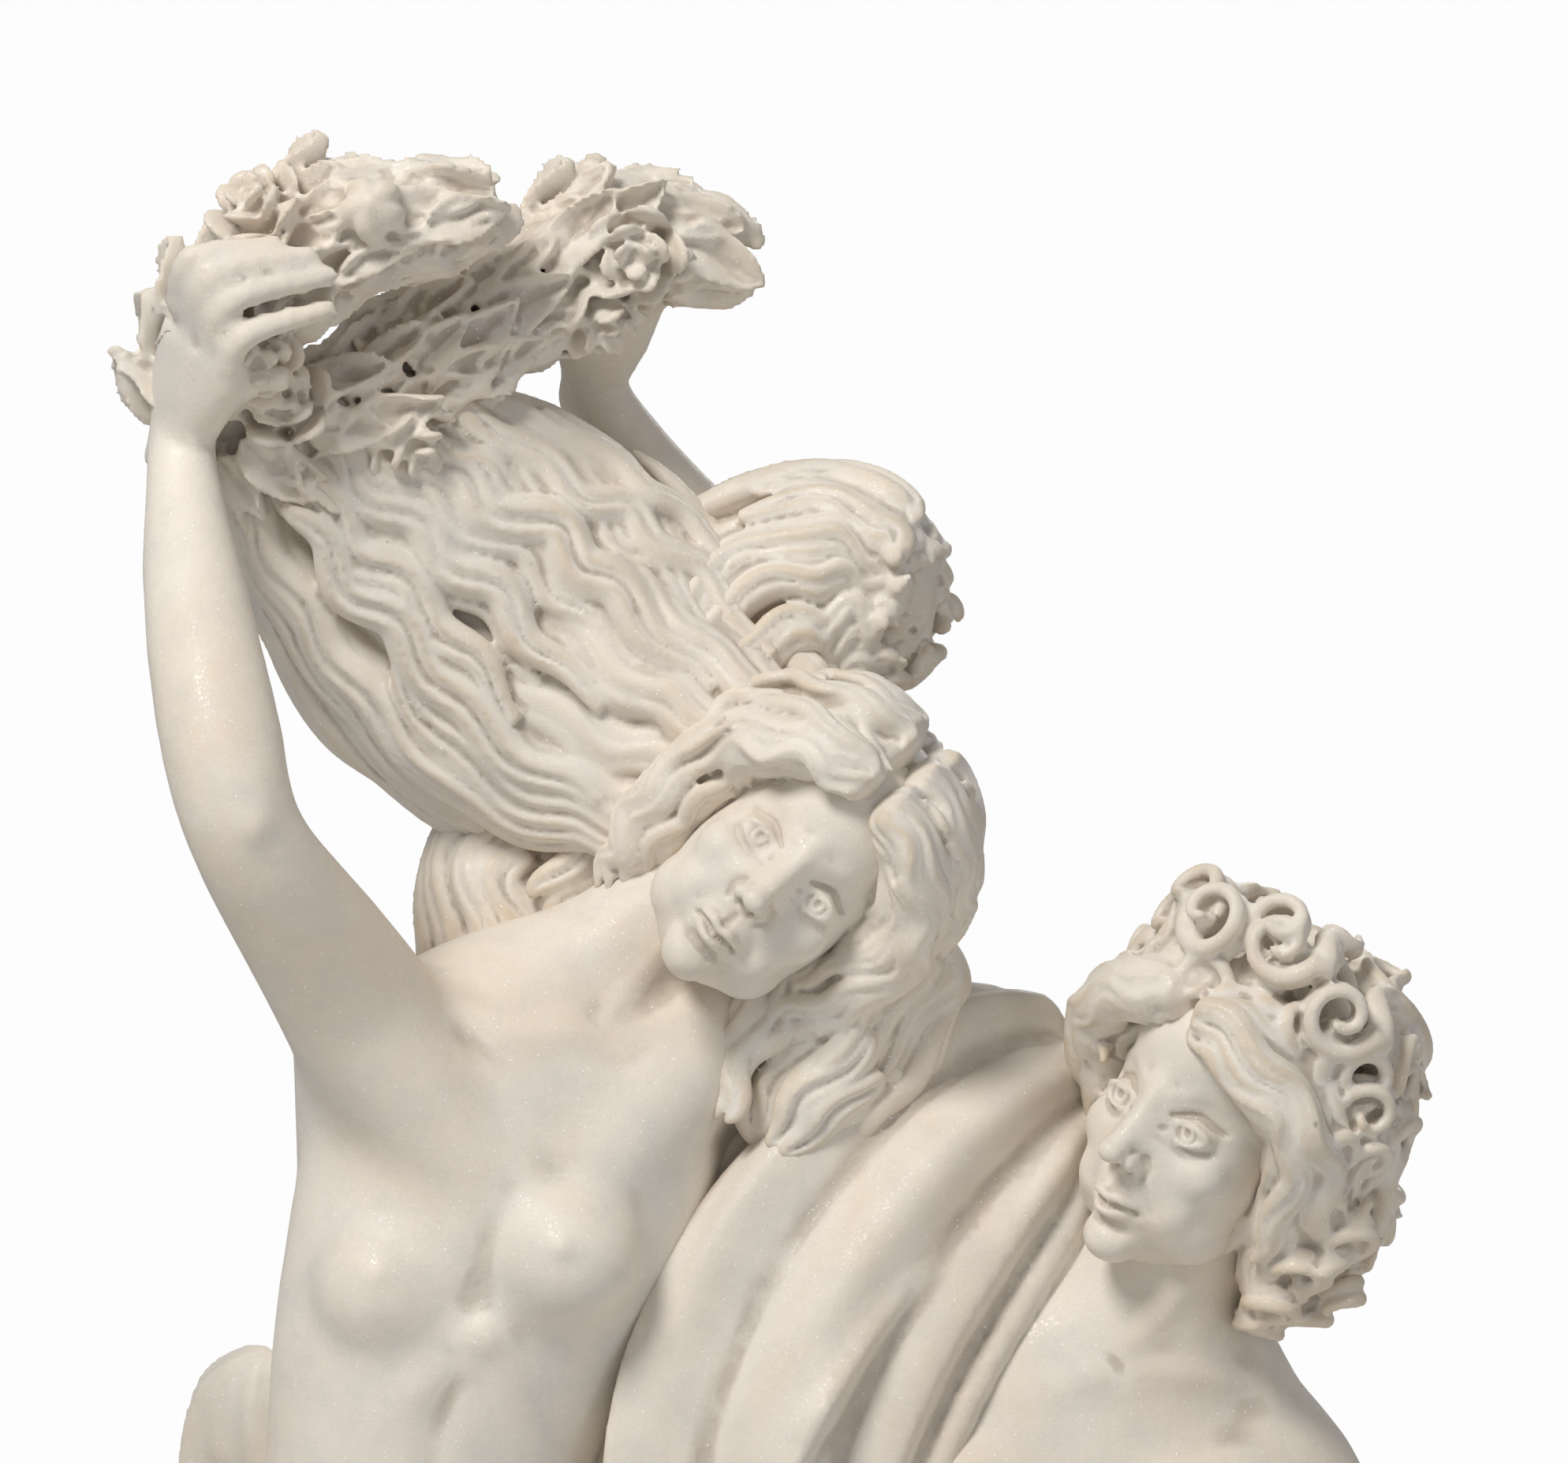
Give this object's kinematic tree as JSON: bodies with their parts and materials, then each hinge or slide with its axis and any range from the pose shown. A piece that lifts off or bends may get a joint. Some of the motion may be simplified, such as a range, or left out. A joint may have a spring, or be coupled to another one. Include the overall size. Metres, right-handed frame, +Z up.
{
  "type": "marble statue group",
  "caption": "White marble statue group on a low rounded block: a nymph lifts a garland of leaves and roses, and a curly-haired youth leans on a rock beside her.",
  "frame": {"origin": "centre of the base block's underside", "axes": "+Z up, -Y towards the front of the group, +X to the viewer's right"},
  "size_m": [0.4439, 0.3, 0.9908],
  "materials": {
    "marble": "Satin white marble with grey and beige clouds, a fine crystal sparkle and a beige patina on the hair."
  },
  "bodies": {
    "root": {"marble_group": "marble"}
  },
  "joints": []
}
